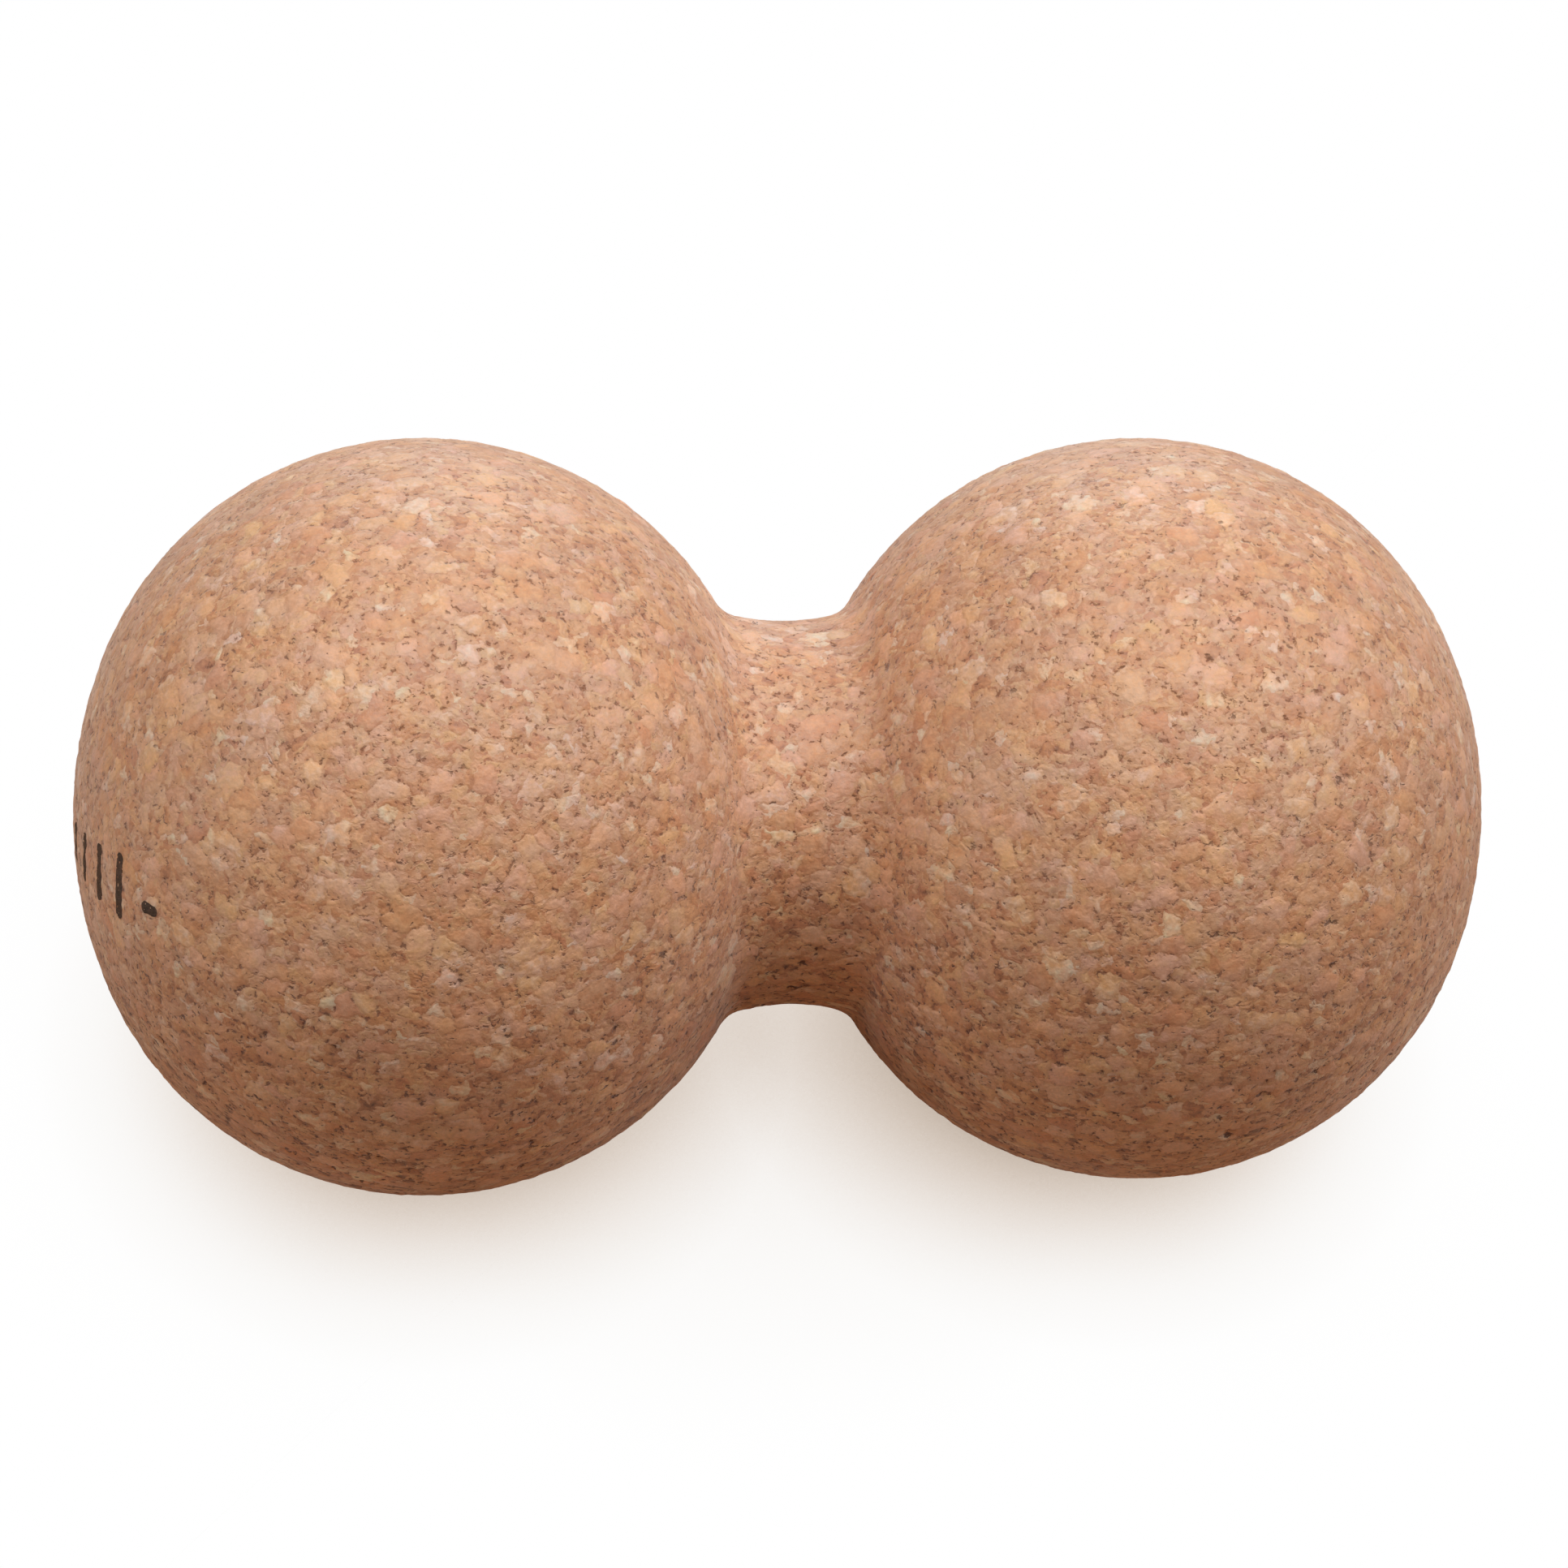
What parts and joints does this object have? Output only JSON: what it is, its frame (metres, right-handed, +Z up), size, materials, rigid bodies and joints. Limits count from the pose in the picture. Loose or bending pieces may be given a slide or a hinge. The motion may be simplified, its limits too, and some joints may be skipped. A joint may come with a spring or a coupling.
{
  "type": "massage ball",
  "caption": "Peanut-shaped double massage ball turned from bonded cork granules, with a short waist that leaves a groove for the spine.",
  "frame": {"origin": "on the resting plane, under the middle of the waist", "axes": "+X along the turning axis through both balls, +Z up from the resting plane, the print is on the -X ball's end"},
  "size_m": [0.15, 0.08, 0.08],
  "materials": {
    "cork": "matte bonded cork granules, bare",
    "ink": "thin dark printing ink, matte"
  },
  "bodies": {
    "root": {"cork_body": "cork", "printed_mark": "ink"}
  },
  "joints": []
}
